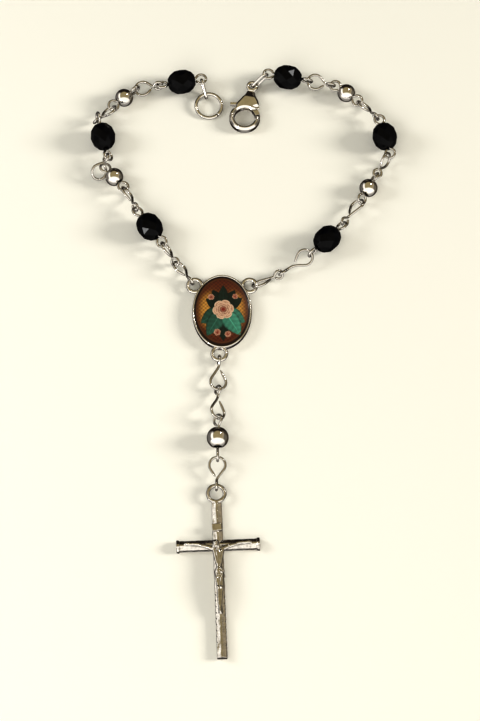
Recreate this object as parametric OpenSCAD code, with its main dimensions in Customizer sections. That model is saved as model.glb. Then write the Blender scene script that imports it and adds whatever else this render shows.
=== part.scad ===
/* [Chain wire] */
// Thickness of the wire of the links and bead pins
wire_d = 0.6; // [0.5:0.05:0.65]
// Radius of the wide loop of a link, to the middle of its wire
big_loop_r = 1.9; // [1.7:0.05:2]
// Radius of the small loop of a link, to the middle of its wire
small_loop_r = 1.0; // [0.95:0.05:1.1]
// Radius of the eye of a bead pin, to the middle of its wire
eye_r = 1.25; // [1.2:0.05:1.35]
// Play between two loops that hold each other
hold = 0.3; // [0.27:0.01:0.35]
// Shortest distance between the two loops of a link
link_span_min = 3.9; // [3.8:0.1:4.1]

/* [Beads] */
// Width of a black bead across its facets
black_d = 6.1; // [5.6:0.1:6.4]
// Length of a black bead along its hole
black_len = 6.6; // [6.2:0.1:6.9]
// Number of facets round a black bead
black_sides = 8; // [6:1:10]
// Hole through a black bead
black_bore = 1.5; // [1.3:0.1:1.6]
// Width of a silver bead of the loop
silver_d = 4.4; // [4.2:0.1:4.8]
// Width of the silver bead of the drop
drop_bead_d = 5.1; // [4.8:0.1:5.4]
// Hole through a silver bead
silver_bore = 1.9; // [1.6:0.1:2]
// Gap between a bead and the eyes of its pin
bead_gap = 0.17; // [0.1:0.01:0.2]

/* [Medal] */
// Width of the medal over its rim
medal_w = 14.1; // [13.5:0.1:15]
// Height of the medal over its rim, without its ears
medal_h = 19; // [18.5:0.1:20]
// Thickness of the medal at its rim
medal_t = 2.1; // [2:0.1:2.6]
// Width of the rim beside the picture
rim_w = 0.5; // [0.4:0.05:0.8]
// Depth of the seat of the picture below the rim
seat_depth = 0.7; // [0.6:0.05:0.9]
// Rise of the domed picture above the rim
dome_rise = 0.55; // [0.3:0.05:0.8]
// Gap round the picture in its seat
seat_gap = 0.04; // [0.02:0.01:0.08]
// Radius of an ear ring, to the middle of its section
ear_r = 1.65; // [1.6:0.05:1.8]
// Thickness of an ear ring
ear_d = 0.85; // [0.8:0.05:0.9]
// Distance of the upper ears inside the sides of the medal
ear_in = 0.55; // [0.4:0.05:0.65]
// Distance of the upper ears below the top of the medal
ear_down = 2.6; // [2.4:0.1:2.8]
// Distance of the lower ear below the bottom of the medal
ear_out = 1.3; // [1.1:0.1:1.4]
// Distance of the lower ear to the left of the middle of the medal
ear_shift = 0.6; // [0:0.1:0.8]
// Height of the middle of the ears above the back
ear_z = 1.35; // [1.3:0.05:1.45]

/* [Jump ring] */
// Width of the jump ring
ring_d = 7.1; // [6.8:0.1:7.6]
// Thickness of the wire of the jump ring
ring_wire_d = 0.8; // [0.7:0.05:0.9]
// Angle of the slit where the ring opens
ring_slit = 3; // [1:0.5:6]
// Half the width of the two small oval links, to the middle of their wire
oval_half_w = 0.9; // [0.85:0.05:1]

/* [Clasp] */
// Thickness of the clasp
clasp_t = 2.4; // [2.2:0.1:2.8]
// Radius of the round opening of the clasp
claw_hole_r = 2.55; // [2.5:0.05:2.7]
// Width of the hook round that opening
claw_w = 1.2; // [1:0.05:1.2]
// Distance from the middle of the opening to the eye of the clasp
clasp_len = 9.1; // [8.9:0.1:9.6]
// Half the width of the neck of the clasp
neck_half = 0.85; // [0.7:0.05:1]
// Radius of the eye of the clasp, to the middle of its section
clasp_eye_r = 1.05; // [1:0.05:1.1]
// Thickness of the eye of the clasp
clasp_eye_d = 0.84; // [0.8:0.02:0.88]
// Thickness of the lever plate
lever_t = 0.9; // [0.7:0.05:1]
// Gap between the lever and the clasp
lever_gap = 0.15; // [0.12:0.01:0.2]
// Thickness of the pin that the lever turns on
pivot_d = 0.7; // [0.6:0.05:0.8]
// Gap round that pin
pivot_gap = 0.05; // [0.04:0.01:0.08]
// Distance from the pin to the end of the gate
gate_reach = 3.4; // [3.3:0.05:3.5]
// Length of the thumb tab, from the pin
tab_len = 5.9; // [5.4:0.1:6.2]

/* [Crucifix] */
// Length of the upright bar
bar_len = 37; // [35:0.5:39]
// Width of the upright bar
bar_w = 2.3; // [2.1:0.1:2.6]
// Thickness of both bars
bar_t = 1.8; // [1.6:0.1:2.2]
// Length of the crossbar from end to end
arm_span = 19; // [18:0.5:20]
// Width of the crossbar
arm_w = 2.3; // [2.1:0.1:2.6]
// Distance from the top of the upright to the middle of the crossbar
arm_drop = 10.2; // [9.8:0.1:10.6]
// Radius of the ring on top, to the middle of its section
bail_r = 1.95; // [1.85:0.05:2.1]
// Thickness of the ring on top
bail_d = 0.9; // [0.8:0.05:0.95]
// Height of the figure from head to feet
figure_h = 18.5; // [17.5:0.5:19.5]
// Depth of the bark notches
notch_depth = 0.35; // [0.2:0.05:0.45]

/* [Hidden] */
// The route of the string, as chosen places on the surface, across and away.
// The loop is laid out from the top of the medal, and the drop from its bottom.
loop_start = [0, medal_h / 2, 0];
drop_start = [0, -medal_h / 2, 0];
// Each bead row: across, away, direction of its hole, turns of its back and front eyes, spare pin
left_beads = [
    [-17.4, 12.3, 126, 150, 25, 0.2],
    [-26.2, 26.2, 131, 10, 16, 0],
    [-29.1, 36.9, 104, 44, 105, 0.6],
    [-24.2, 48.2, 40, 25, 90, 0],
    [-10.1, 52.2, 10, 150, 0, 0],
];
right_beads = [
    [25.1, 9.0, 45, 90, 140, 0.2],
    [35.3, 23.2, 61, 50, 120, 0],
    [39.5, 36.9, 104, 160, 5, 0],
    [30.4, 49.5, 142, 150, 170, 0],
    [16.0, 53.5, 169, 80, 0, 0],
];
drop_beads = [[-0.9, -23.1, 270, 45, 90, 0.7]];
// Places where two links meet
left_meeting = loop_start + [-11, 3, 2];
right_meeting = loop_start + [14.0, 0.5, 1.5];
drop_meeting = drop_start + [-0.9, -10.1, 1.5];
// Middles of the wide and small loops of the fourth and fifth links, which lie slack
slack_links = [
    [loop_start + [-29.9, 27.6, 2.2], loop_start + [-28.2, 30.8, 3.5]],
    [loop_start + [-27.7, 44.4, 2.3], loop_start + [-30.7, 42.0, 2.0]],
];
// Places of the jump ring, the clasp and the crucifix ring, and how far the last two are turned
ring_place = loop_start + [-3.4, 46.7, 0];
clasp_place = loop_start + [5.4, 43.0, 0];
clasp_turn = -12;
cross_place = drop_start + [-1.2, -36.5, 0];
cross_turn = 2.2;

wire_sides = 5;
wire_r = wire_d / 2;
round_steps = 24;
// Distance from the neck of a loop to its centre, as a share of its radius
neck_share = 1.28;
// The same for the small loop of a link, where its length allows
small_neck_share = 1.35;
// Gap between the free end of a loop's wire and its neck
end_gap = 0.06;

beads = concat(left_beads, right_beads, drop_beads);
black_rows = [0, 2, 4, 5, 7, 9];
silver_rows = [1, 3, 6, 8, 10];
drop_row = 10;
link_count = 15;

function is_black(row) = len(search(row, black_rows)) > 0;
function bead_r(row) = is_black(row) ? black_d / 2 : row == drop_row ? drop_bead_d / 2 : silver_d / 2;
function bead_centre(row) =
    (row == drop_row ? drop_start : loop_start) + [beads[row][0], beads[row][1], bead_r(row)];
function mouth(r, bore) = sqrt(r ^ 2 - (bore / 2) ^ 2);
eye_outer = eye_r + wire_r;
// Distance from the middle of a bead to the centre of each eye of its pin
function eye_reach(row) =
    is_black(row)
        ? black_len / 2 + bead_gap + mouth(eye_outer, black_bore) + beads[row][5]
        : mouth(bead_r(row), silver_bore) + bead_gap + mouth(eye_outer, silver_bore) + beads[row][5];
function along(heading) = [cos(heading), sin(heading), 0];
function front_eye(row) = bead_centre(row) + eye_reach(row) * along(beads[row][2]);
function back_eye(row) = bead_centre(row) - eye_reach(row) * along(beads[row][2]);

// What a link holds: a place, and how far its own loop reaches past that place
function ring_hold(r, thickness) = r - thickness / 2 - wire_r - hold;
function at_eye(place) = [place, ring_hold(eye_r, wire_d)];
function at_ear(place) = [place, ring_hold(ear_r, ear_d)];
function at_meeting(place) = [place, -(wire_d + hold) / 2];
function at_place(centre) = [centre, undef];

seat_floor = medal_t - seat_depth;
left_ear = [ear_in - medal_w / 2, medal_h / 2 - ear_down, ear_z];
right_ear = [medal_w / 2 - ear_in, medal_h / 2 - ear_down, ear_z];
lower_ear = [-ear_shift, -medal_h / 2 - ear_out, ear_z];
bail_z = small_loop_r + wire_r + 0.1;
// The last link slopes down to the ring of the crucifix, so it aims a little below it
bail_dip = 0.2;
// The link of the right ear leans, so its wide loop is off the middle of the ear
right_ear_lean = [0.3, -0.75, 0.5];
bail_centre = [cross_place[0], cross_place[1], bail_z];

// Each link row: what its wide loop holds, what its small loop holds, its turn,
// the share of its length that the wide loop takes, and how far its small loop is turned from the wide one
links = [
    [at_meeting(left_meeting), at_ear(left_ear), -45, 0.66, 135],
    [at_eye(back_eye(0)), at_meeting(left_meeting), -60, 0.66, 105],
    [at_eye(back_eye(1)), at_eye(front_eye(0)), -60, 0.66, 120],
    [at_place(slack_links[0][0]), at_place(slack_links[0][1]), 40, 0.66, 90],
    [at_place(slack_links[1][0]), at_place(slack_links[1][1]), 45, 0.66, 30],
    [at_eye(front_eye(3)), at_eye(back_eye(4)), 0, 0.66, 60],
    [at_ear(right_ear + right_ear_lean), at_meeting(right_meeting), -50, 0.66, 90],
    [at_eye(back_eye(5)), at_meeting(right_meeting), -25, 0.5, 90],
    [at_eye(back_eye(6)), at_eye(front_eye(5)), 42, 0.66, 90],
    [at_eye(back_eye(7)), at_eye(front_eye(6)), -75, 0.66, 60],
    [at_eye(back_eye(8)), at_eye(front_eye(7)), -50, 0.6, 140],
    [at_eye(back_eye(9)), at_eye(front_eye(8)), 10, 0.66, 90],
    [at_meeting(drop_meeting), at_ear(lower_ear), 12, 0.66, 90],
    [at_eye(back_eye(10)), at_meeting(drop_meeting), 38, 0.6, 90],
    [at_eye(front_eye(10)), [bail_centre - [0, 0, bail_dip], ring_hold(bail_r, bail_d)], 0, 0.66, 90],
];

// Paths and sweeps

function unit(v) = v / norm(v);
function tangent(p, i) =
    i == 0 ? unit(p[1] - p[0])
    : i == len(p) - 1 ? unit(p[i] - p[i - 1])
    : unit(unit(p[i + 1] - p[i]) + unit(p[i] - p[i - 1]));
function any_normal(t) = unit(cross(t, abs(t[2]) < 0.8 ? [0, 0, 1] : [1, 0, 0]));
function carry(v, a, b) = v - (v * b) / (1 + a * b) * (a + b);
function normals(p) = [
    for (
        i = 0, v = any_normal(tangent(p, 0));
        i < len(p);
        v = i + 1 < len(p) ? carry(v, tangent(p, i), tangent(p, i + 1)) : v, i = i + 1
    ) v
];

// A round wire along the points p
module wire(p, r) {
    v = normals(p);
    last = len(p) - 1;
    points = [
        for (i = [0:last])
            for (k = [0:wire_sides - 1])
                let (turn = 360 * k / wire_sides, w = cross(tangent(p, i), v[i]))
                    p[i] + r * (cos(turn) * v[i] + sin(turn) * w)
    ];
    sides = [
        for (i = [0:last - 1])
            for (k = [0:wire_sides - 1])
                let (next = (k + 1) % wire_sides, a = i * wire_sides, b = a + wire_sides)
                    [a + k, b + k, b + next, a + next]
    ];
    start_cap = [for (k = [0:wire_sides - 1]) k];
    end_cap = [for (k = [wire_sides - 1:-1:0]) last * wire_sides + k];
    polyhedron(points, concat(sides, [start_cap], [end_cap]), convexity = 6);
}

// An eye in its own plane: from its neck at 0, round a circle whose centre is reach away, and back
function eye_path(r, reach) =
    let (
        lean = acos(r / reach),
        sweep = 2 * (180 - lean),
        steps = ceil(sweep / round_steps),
        end = (wire_d + end_gap) / (2 * cos(lean))
    ) concat(
        [[0, 0]],
        [for (i = [0:steps]) let (a = 180 - lean - sweep * i / steps) [reach + r * cos(a), r * sin(a)]],
        [end * [sin(lean), -cos(lean)]]
    );
function reversed(p) = [for (i = [len(p) - 1:-1:0]) p[i]];

function link_path(span, share, small_turn) =
    let (
        big_reach = max(neck_share * big_loop_r, share * span),
        small_reach = min(small_neck_share * small_loop_r, span - big_reach - wire_d / 4),
        big = [for (q = reversed(eye_path(big_loop_r, big_reach))) [big_reach - q[0], q[1], 0]],
        across = [cos(small_turn), sin(small_turn)],
        small = [
            for (q = eye_path(small_loop_r, small_reach))
                [span - small_reach + q[0], q[1] * across[0], q[1] * across[1]]
        ]
    ) concat(big, small);

function pin_path(reach, back_turn, front_turn) =
    let (
        neck = neck_share * eye_r,
        eye = eye_path(eye_r, neck),
        front = [for (q = eye) [reach - neck + q[0], q[1] * cos(front_turn), q[1] * sin(front_turn)]],
        back = [for (q = eye) [neck - reach - q[0], q[1] * cos(back_turn), q[1] * sin(back_turn)]]
    ) concat(reversed(back), front);

// Moves a piece that lies along X from the origin to lie from a to b, turned about itself
module laid_from(a, b, turn) {
    d = b - a;
    translate(a)
        rotate([turn, -asin(d[2] / norm(d)), atan2(d[1], d[0])])
            children();
}

// Pieces of the string

module link(row) {
    wide = row[0][0];
    narrow = row[1][0];
    placed = is_undef(row[0][1]);
    reach = placed ? [0, 0] : [big_loop_r + row[0][1], small_loop_r + row[1][1]];
    u = unit(narrow - wide);
    free = norm(narrow - wide) - reach[0] - reach[1];
    span = max(link_span_min, free);
    slack = span - free;
    a = wide + (reach[0] - slack / 2) * u;
    b = narrow - (reach[1] - slack / 2) * u;
    color("silver") laid_from(a, b, row[2]) wire(link_path(norm(b - a), row[3], row[4]), wire_r);
}

module bead_pin(row) {
    b = beads[row];
    color("silver")
        translate(bead_centre(row))
            rotate([0, 0, b[2]])
                wire(pin_path(eye_reach(row), b[3], b[4]), wire_r);
}

// Stations along a black bead: distance from the middle and radius, as shares of half its size
black_profile = [[-1, 0.4], [-0.8, 0.7], [-0.44, 0.93], [0, 1], [0.44, 0.93], [0.8, 0.7], [1, 0.4]];

module black_bead(row) {
    stations = len(black_profile);
    points = [
        for (i = [0:stations - 1])
            for (k = [0:black_sides - 1])
                let (turn = 360 * (k + i % 2 / 2) / black_sides, s = black_profile[i])
                    [s[0] * black_len / 2, s[1] * black_d / 2 * cos(turn), s[1] * black_d / 2 * sin(turn)]
    ];
    facets = [
        for (i = [0:stations - 2])
            for (k = [0:black_sides - 1])
                let (
                    next = (k + 1) % black_sides,
                    a = i * black_sides,
                    b = a + black_sides,
                    ahead = i % 2 == 0
                )
                    each ahead
                        ? [[a + k, b + k, a + next], [a + next, b + k, b + next]]
                        : [[a + k, b + k, b + next], [a + k, b + next, a + next]]
    ];
    start_cap = [for (k = [0:black_sides - 1]) k];
    end_cap = [for (k = [black_sides - 1:-1:0]) (stations - 1) * black_sides + k];
    color([0.04, 0.04, 0.05])
        translate(bead_centre(row))
            rotate([0, 0, beads[row][2]])
                difference() {
                    rotate([180 / black_sides, 0, 0])
                        polyhedron(points, concat(facets, [start_cap], [end_cap]), convexity = 2);
                    rotate([0, 90, 0])
                        cylinder(d = black_bore, h = black_len + 2, center = true, $fn = 24);
                }
}

module silver_bead(row) {
    color("silver")
        translate(bead_centre(row))
            rotate([0, 90, beads[row][2]])
                difference() {
                    sphere(r = bead_r(row), $fn = 48);
                    cylinder(d = silver_bore, h = 3 * bead_r(row), center = true, $fn = 24);
                }
}

module round_ring(r, thickness, steps, sides) {
    rotate_extrude($fn = steps)
        translate([r, 0])
            circle(d = thickness, $fn = sides);
}

// Medal

// Turns a profile into an oval solid as wide as w and as long as the medal is, less inset on each side
module oval_solid(profile, inset) {
    scale([1, (medal_h - 2 * inset) / (medal_w - 2 * inset), 1])
        rotate_extrude($fn = 72)
            polygon(profile);
}

module medal_frame() {
    w = medal_w / 2;
    low_bevel = 0.8;
    top_bevel = 0.15;
    body = [
        [0, 0],
        [w - low_bevel, 0],
        [w - 0.3 * low_bevel, 0.3 * low_bevel],
        [w, low_bevel],
        [w, medal_t - top_bevel],
        [w - top_bevel, medal_t],
        [0, medal_t],
    ];
    seat_w = w - rim_w;
    seat = [[0, seat_floor], [seat_w, seat_floor], [seat_w, medal_t + 1], [0, medal_t + 1]];
    color("silver") difference() {
        union() {
            oval_solid(body, 0);
            for (place = [left_ear, right_ear, lower_ear])
                translate(place)
                    round_ring(ear_r, ear_d, 28, 10);
        }
        oval_solid(seat, rim_w);
    }
}

module medal_picture() {
    w = medal_w / 2 - rim_w - seat_gap;
    edge_z = medal_t - 0.1;
    top_z = medal_t + dome_rise;
    rise = top_z - edge_z;
    dome_r = (w ^ 2 + rise ^ 2) / (2 * rise);
    half = asin(w / dome_r);
    dome = [for (i = [0:8]) let (a = half * (1 - i / 8)) [dome_r * sin(a), top_z - dome_r * (1 - cos(a))]];
    color([0.45, 0.2, 0.1])
        oval_solid(concat([[0, seat_floor + seat_gap], [w, seat_floor + seat_gap]], dome), rim_w + seat_gap);
}

// Jump ring and small oval links

ring_r = (ring_d - ring_wire_d) / 2;
// Room under the small oval link that holds the jump ring
link_play = 0.1;
ring_lift = oval_half_w + wire_r + link_play;
ring_low = ring_wire_d / 2;
ring_end_eye = front_eye(4);
ring_side = unit([ring_end_eye[0] - ring_place[0], ring_end_eye[1] - ring_place[1], 0]);
ring_hung = [ring_place[0], ring_place[1], ring_lift] + ring_r * ring_side;
ring_centre = [ring_place[0], ring_place[1], (ring_lift + ring_low) / 2];
ring_tilt = asin((ring_lift - ring_low) / (2 * ring_r));

module jump_ring() {
    heading = atan2(ring_side[1], ring_side[0]);
    slit_at = -48;
    color("silver")
        translate(ring_centre)
            rotate([0, -ring_tilt, heading])
                rotate([0, 0, slit_at - heading + ring_slit / 2])
                    rotate_extrude(angle = 360 - ring_slit, $fn = 64)
                        translate([ring_r, 0])
                            circle(d = ring_wire_d, $fn = 16);
}

// A closed oval ring along X, standing on edge, from 0 to len between the middles of its end arcs
module oval_ring(len, half_w) {
    rotate([90, 0, 0]) {
        for (end = [[0, 90], [len, -90]])
            translate([end[0], 0, 0])
                rotate([0, 0, end[1]])
                    rotate_extrude(angle = 180, $fn = 32)
                        translate([half_w, 0])
                            circle(r = wire_r, $fn = 16);
        for (side = [-1, 1])
            translate([0, side * half_w, 0])
                rotate([0, 90, 0])
                    cylinder(r = wire_r, h = len, $fn = 16);
    }
}

// An oval link that holds the wires at places a and b, whose thicknesses are given
module oval_link(a, a_d, b, b_d) {
    u = unit(b - a);
    from = a - (a_d / 2 + wire_r + hold - oval_half_w) * u;
    to = b + (b_d / 2 + wire_r + hold - oval_half_w) * u;
    color("silver") laid_from(from, to, 0) oval_ring(norm(to - from), oval_half_w);
}

module ring_link() {
    toward = unit(ring_hung - ring_end_eye);
    wire_place = ring_end_eye + eye_r * unit([toward[0], toward[1], 0]);
    oval_link(wire_place, wire_d, ring_hung, ring_wire_d);
}

clasp_z = clasp_t / 2;
clasp_eye_rise = 0.15;
function on_clasp(p) =
    [clasp_place[0], clasp_place[1], clasp_z]
        + [cos(clasp_turn) * p[0] - sin(clasp_turn) * p[1], sin(clasp_turn) * p[0] + cos(clasp_turn) * p[1], 0];

clasp_eye = on_clasp([0, clasp_len]) + [0, 0, clasp_eye_rise];

module clasp_link() {
    bead_eye = front_eye(9);
    eye = clasp_eye;
    flat = unit([eye[0] - bead_eye[0], eye[1] - bead_eye[1], 0]);
    oval_link(bead_eye + eye_r * flat, wire_d, eye - clasp_eye_r * flat, clasp_eye_d);
}

// Clasp

claw_r = claw_hole_r + claw_w;
pivot = [1.5, 4.2];
hub_r = 0.95;
cheek_r = 1.88;
slot_t = lever_t + 2 * lever_gap;
slot_low = 2.45;
slot_high = 6.3;
slot_side = 6;
slot_gate_low = 1.3;
shoulder = [2.9, 3.2];
// Height above the middle of the opening where the body narrows to its neck
narrow_y = clasp_len - 2.5;
neck_y = clasp_len - clasp_eye_r - clasp_eye_d / 4;
gate_t = 1.8;
tab_half = 0.35;
tab_lean = 190;

module on_clasp_plane(t) {
    translate([clasp_place[0], clasp_place[1], clasp_z])
        rotate([0, 0, clasp_turn])
            translate([0, 0, -t / 2])
                linear_extrude(t)
                    children();
}

// The side of the clasp where the gate closes it, seen from the middle of the opening
module gate_side() {
    far = 2 * claw_r;
    polygon([[0, 0], far * [cos(-10), sin(-10)], [far, far], far * [cos(62), sin(62)]]);
}

module clasp_outline() {
    difference() {
        union() {
            circle(r = claw_r, $fn = 64);
            polygon([
                [-shoulder[0], shoulder[1] - 1.2],
                [-shoulder[0], shoulder[1]],
                [-neck_half - 0.3, narrow_y],
                [-neck_half, neck_y],
                [neck_half, neck_y],
                [neck_half + 0.45, narrow_y],
                [shoulder[0] - 0.5, 5],
                [shoulder[0], shoulder[1] + 0.6],
                [0, 2],
            ]);
        }
        circle(r = claw_hole_r, $fn = 64);
        difference() {
            gate_side();
            translate(pivot) circle(r = cheek_r, $fn = 48);
            difference() {
                circle(r = claw_r, $fn = 64);
                translate(pivot) circle(r = gate_reach + lever_gap, $fn = 64);
            }
            polygon([pivot, pivot + [claw_r, 0.2], [claw_r, clasp_len], [0, clasp_len]]);
        }
    }
}

module clasp_body() {
    color("silver") union() {
        difference() {
            on_clasp_plane(clasp_t) clasp_outline();
            on_clasp_plane(slot_t)
                polygon([
                    [-slot_side, slot_low],
                    [0.6, slot_low],
                    [0.6, slot_gate_low],
                    [slot_side, slot_gate_low],
                    [slot_side, slot_high - 0.8],
                    [0, slot_high],
                    [-slot_side, slot_high],
                ]);
        }
        on_clasp_plane(clasp_t) translate(pivot) circle(d = pivot_d, $fn = 32);
        translate(clasp_eye) round_ring(clasp_eye_r, clasp_eye_d, 48, 16);
    }
}

module gate_outline() {
    intersection() {
        difference() {
            circle(r = claw_r, $fn = 64);
            circle(r = claw_hole_r, $fn = 64);
        }
        gate_side();
        translate(pivot) circle(r = gate_reach, $fn = 64);
    }
}

module lever_plate() {
    gate_outline();
    translate(pivot) circle(r = hub_r, $fn = 32);
    polygon([
        pivot + [-hub_r, 0],
        pivot + [hub_r, 0],
        claw_r * [cos(50), sin(50)],
        claw_hole_r * [cos(45), sin(45)],
        claw_hole_r * [cos(60), sin(60)],
    ]);
    translate(pivot)
        rotate([0, 0, tab_lean])
            translate([0, -tab_half])
                square([tab_len, 2 * tab_half]);
}

module clasp_lever() {
    color("silver") difference() {
        union() {
            on_clasp_plane(lever_t) lever_plate();
            on_clasp_plane(gate_t)
                difference() {
                    gate_outline();
                    translate(pivot) circle(r = cheek_r + lever_gap, $fn = 48);
                }
        }
        on_clasp_plane(2 * clasp_t) translate(pivot) circle(d = pivot_d + 2 * pivot_gap, $fn = 32);
    }
}

// Crucifix: it lies along -Y from its ring

bar_top = -bail_r - bail_d / 4;
arm_y = bar_top - arm_drop;

// Section of a bar: flat back, low sides and a face like a shallow roof
module bar_section(w, t) {
    ridge_half = 0.06 * w;
    side_t = t - 0.54 * (w / 2 - ridge_half);
    polygon([
        [-w / 2, 0],
        [w / 2, 0],
        [w / 2, side_t],
        [ridge_half, t],
        [-ridge_half, t],
        [-w / 2, side_t],
    ]);
}

module bar(w, t, len) {
    rotate([90, 0, 0]) linear_extrude(len) bar_section(w, t);
}

module cross_bars() {
    end_cap = 0.6;
    translate([0, bar_top, 0]) bar(bar_w, bar_t, bar_len);
    translate([-arm_span / 2, arm_y, 0]) rotate([0, 0, 90]) bar(arm_w, bar_t, arm_span);
    for (side = [-1, 1])
        translate([side * (arm_span - end_cap) / 2 - end_cap / 2, arm_y, 0])
            rotate([0, 0, 90])
                bar(arm_w + 0.5, bar_t + 0.15, end_cap);
}

module bark_notches() {
    count = 9;
    for (i = [0:count - 1])
        for (side = [-1, 1])
            translate([side * bar_w / 2, bar_top - bar_len * (0.6 + 0.038 * (i + 0.5 * (side + 1) / 2)), 0])
                rotate([0, 0, 45])
                    cube([notch_depth, notch_depth, 3 * bar_t], center = true);
}

// Joints of the figure: across, up the body and off the cross, as shares of its height
figure_points = [
    [-0.03, 0.865, 0.11],
    [0.0, 0.82, 0.085],
    [0.0, 0.77, 0.07],
    [0.0, 0.62, 0.075],
    [0.0, 0.52, 0.07],
    [0.005, 0.3, 0.085],
    [-0.005, 0.08, 0.06],
    [0.0, 0.0, 0.045],
];

module ball(p, r) {
    translate([p[0], p[1], p[2]]) sphere(r = r, $fn = 12);
}

module limb(a, ra, b, rb) {
    hull() {
        ball(a, ra);
        ball(b, rb);
    }
}

module figure() {
    h = figure_h;
    base = bar_t - 0.15;
    feet_y = arm_y + 0.8 - 0.925 * h;
    function at(i) = [figure_points[i][0] * h, feet_y + figure_points[i][1] * h, base + figure_points[i][2] * h - 0.6];
    head = at(0);
    chest = at(2);
    waist = at(3);
    hips = at(4);
    knees = at(5);
    ankles = at(6);
    toes = at(7);
    for (side = [-1, 1]) {
        shoulder_at = chest + [side * 0.05 * h, 0.035 * h, 0];
        elbow = [side * 0.2 * h, arm_y - 0.012 * h, base + 0.02 * h];
        hand = [side * 0.38 * h, arm_y + 0.012 * h, base + 0.01 * h];
        limb(shoulder_at, 0.03 * h, elbow, 0.024 * h);
        limb(elbow, 0.024 * h, hand, 0.019 * h);
        ball(hand, 0.025 * h);
        limb(shoulder_at, 0.03 * h, waist + [side * 0.016 * h, 0, 0], 0.03 * h);
        limb(hips + [side * 0.024 * h, 0, 0], 0.034 * h, knees + [side * 0.018 * h, 0, 0], 0.026 * h);
        limb(knees + [side * 0.018 * h, 0, 0], 0.026 * h, ankles + [side * 0.008 * h, 0, 0], 0.018 * h);
    }
    limb(chest, 0.043 * h, waist, 0.034 * h);
    limb(waist, 0.034 * h, hips, 0.044 * h);
    limb(hips + [0, 0.02 * h, 0], 0.048 * h, hips - [0, 0.07 * h, 0], 0.04 * h);
    limb(ankles, 0.022 * h, toes, 0.02 * h);
    limb(at(1), 0.026 * h, chest, 0.034 * h);
    hull() {
        ball(head, 0.04 * h);
        ball(head + [0, -0.024 * h, 0.004 * h], 0.031 * h);
    }
}

module plaque() {
    w = 2.2;
    tall = 1.7;
    translate([-w / 2 - 0.1, arm_y + 3.1, bar_t - 0.3])
        rotate([0, 0, 4])
            cube([w, tall, 0.65]);
}

module crucifix() {
    color("silver")
        translate([cross_place[0], cross_place[1], 0])
            rotate([0, 0, cross_turn])
                union() {
                    difference() {
                        cross_bars();
                        bark_notches();
                    }
                    translate([0, 0, bail_z])
                        round_ring(bail_r, bail_d, 28, 10);
                    plaque();
                    figure();
                }
}

medal_frame();
medal_picture();
for (i = [1:len(black_rows)]) black_bead(black_rows[i - 1]);
for (i = [1:len(silver_rows)]) silver_bead(silver_rows[i - 1]);
for (i = [1:len(beads)]) bead_pin(i - 1);
for (i = [1:link_count]) link(links[i - 1]);
ring_link();
jump_ring();
clasp_link();
clasp_body();
clasp_lever();
crucifix();
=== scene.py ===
import math

import bmesh
import bpy
from bpy.props import FloatProperty, FloatVectorProperty, IntProperty, PointerProperty
from mathutils import Matrix, Vector, noise


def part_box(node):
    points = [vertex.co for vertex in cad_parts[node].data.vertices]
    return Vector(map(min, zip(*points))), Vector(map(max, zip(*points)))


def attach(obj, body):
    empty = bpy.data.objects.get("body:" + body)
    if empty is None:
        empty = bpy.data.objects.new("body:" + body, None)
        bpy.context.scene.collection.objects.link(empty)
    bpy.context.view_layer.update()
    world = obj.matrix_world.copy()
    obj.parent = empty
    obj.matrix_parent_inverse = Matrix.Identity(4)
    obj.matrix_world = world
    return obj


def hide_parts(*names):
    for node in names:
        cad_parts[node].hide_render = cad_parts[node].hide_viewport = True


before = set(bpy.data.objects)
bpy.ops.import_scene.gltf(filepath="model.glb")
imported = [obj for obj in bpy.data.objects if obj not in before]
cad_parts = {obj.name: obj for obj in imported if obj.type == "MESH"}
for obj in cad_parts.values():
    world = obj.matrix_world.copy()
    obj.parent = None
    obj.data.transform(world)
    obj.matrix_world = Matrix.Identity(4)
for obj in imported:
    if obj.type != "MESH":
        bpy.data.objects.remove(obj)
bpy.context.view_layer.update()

bl_info = {
    "name": "Rosary Bracelet",
    "version": (1, 0, 0),
    "blender": (4, 5, 0),
    "location": "3D View > Sidebar > Bracelet",
    "description": "Finishes the beads, wire, medal, clasp and crucifix of a rosary bracelet",
    "category": "Add Mesh",
}

MM = 0.001
CHAIN_BODY = "bracelet"
LEVER_BODY = "lever"
# Vertices closer than this are one, on a CAD node and on a spun shape
CAD_DOUBLES = 0.002 * MM
SPIN_DOUBLES = 0.001 * MM

WIRES = [f"link_{number}" for number in range(1, 16)] + [f"bead_pin_{number}" for number in range(1, 12)]
BLACK_BEADS = [f"black_bead_{number}" for number in range(1, 7)]

# Direction of the hole of each bead, in degrees from the X axis
SILVER_BEADS = {
    "silver_bead_1": 131,
    "silver_bead_2": 40,
    "silver_bead_3": 61,
    "silver_bead_4": 142,
    "silver_bead_5": 270,
}


# Sizes and colours that a user may change


class BraceletChain(bpy.types.PropertyGroup):
    """The wire of the chain"""

    wire: FloatProperty(
        name="Wire", description="Thickness of the wire of links and bead pins",
        default=0.6 * MM, unit="LENGTH",
    )
    smoothness: IntProperty(
        name="Smoothness", description="Subdivision of the wire", default=2, min=1, max=3,
    )


class BraceletBeads(bpy.types.PropertyGroup):
    """The beads"""

    bore: FloatProperty(
        name="Hole", description="Width of the hole through a silver bead",
        default=1.9 * MM, unit="LENGTH",
    )
    lip: FloatProperty(
        name="Lip", description="Rounding of the edge of that hole", default=0.12 * MM, unit="LENGTH",
    )
    facet_edge: FloatProperty(
        name="Facet Edge", description="Width of the worn edge between two facets of a black bead",
        default=0.07 * MM, unit="LENGTH",
    )


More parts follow.
